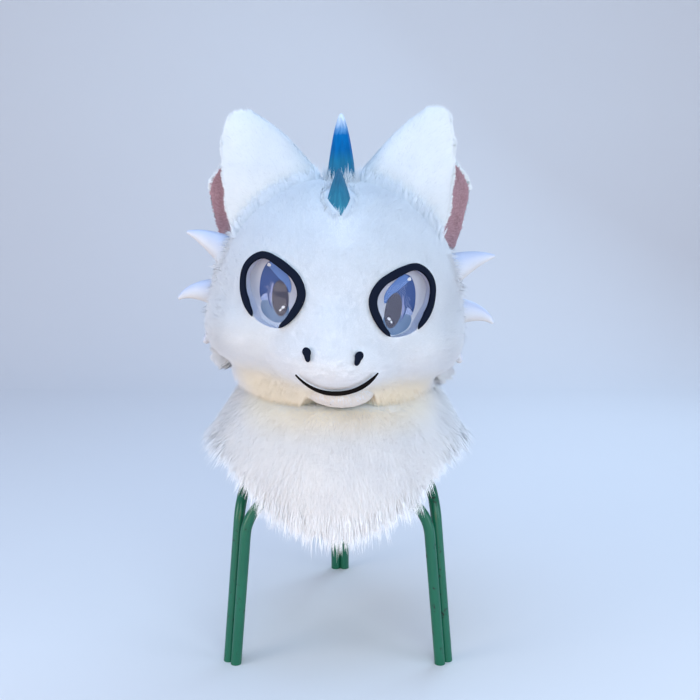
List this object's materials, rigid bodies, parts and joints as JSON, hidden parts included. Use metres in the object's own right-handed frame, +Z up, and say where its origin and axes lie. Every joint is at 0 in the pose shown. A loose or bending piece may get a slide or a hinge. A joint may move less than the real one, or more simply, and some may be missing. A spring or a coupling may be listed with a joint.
{
  "type": "fursuit head on a tripod tube stand",
  "caption": "Hollow white fur-covered costume head with tall side-open ears, horns, cheek spikes, domed eyes and a fur neck skirt, resting on a low tube stand.",
  "frame": {"origin": "on the floor, at the bottom centre of the box round the whole object", "axes": "+Z up, the face looks towards -Y, +X is the wearer's left"},
  "size_m": [0.3932, 0.3928, 0.678],
  "materials": {
    "white_fur": "deep-pile white faux fur, slightly cool",
    "pink_fur": "short-pile dusty pink lining",
    "bib_cloth": "white knitted backing cloth",
    "horn_blue": "satin resin, deep blue with a white tip",
    "horn_teal": "satin resin, teal facets",
    "spike_white": "smooth white foam-like casting",
    "trim_black": "matt navy-black",
    "eye_print": "printed plate in two blues",
    "clear_lens": "clear glossy dome",
    "green_paint": "green gloss paint with small chips"
  },
  "bodies": {
    "root": {"bib_pile": "white_fur", "cheek_spike_lower_left": "spike_white", "cheek_spike_lower_right": "spike_white", "cheek_spike_middle_left": "spike_white", "cheek_spike_middle_right": "spike_white", "cheek_spike_upper_left": "spike_white", "cheek_spike_upper_right": "spike_white", "cheek_tuft_left": "white_fur", "cheek_tuft_right": "white_fur", "ear_left": "white_fur", "ear_lining_left": "pink_fur", "ear_lining_right": "pink_fur", "ear_right": "white_fur", "eye_lens_left": "clear_lens", "eye_lens_right": "clear_lens", "eye_plate_left": "eye_print", "eye_plate_right": "eye_print", "eye_rim_left": "trim_black", "eye_rim_right": "trim_black", "head_shell": "white_fur", "horn_large": "horn_blue", "horn_small": "horn_teal", "lower_jaw": "white_fur", "mouth_line": "trim_black", "neck_bib": "bib_cloth", "nostril_left": "trim_black", "nostril_right": "trim_black", "stand_frame": "green_paint"}
  },
  "joints": []
}
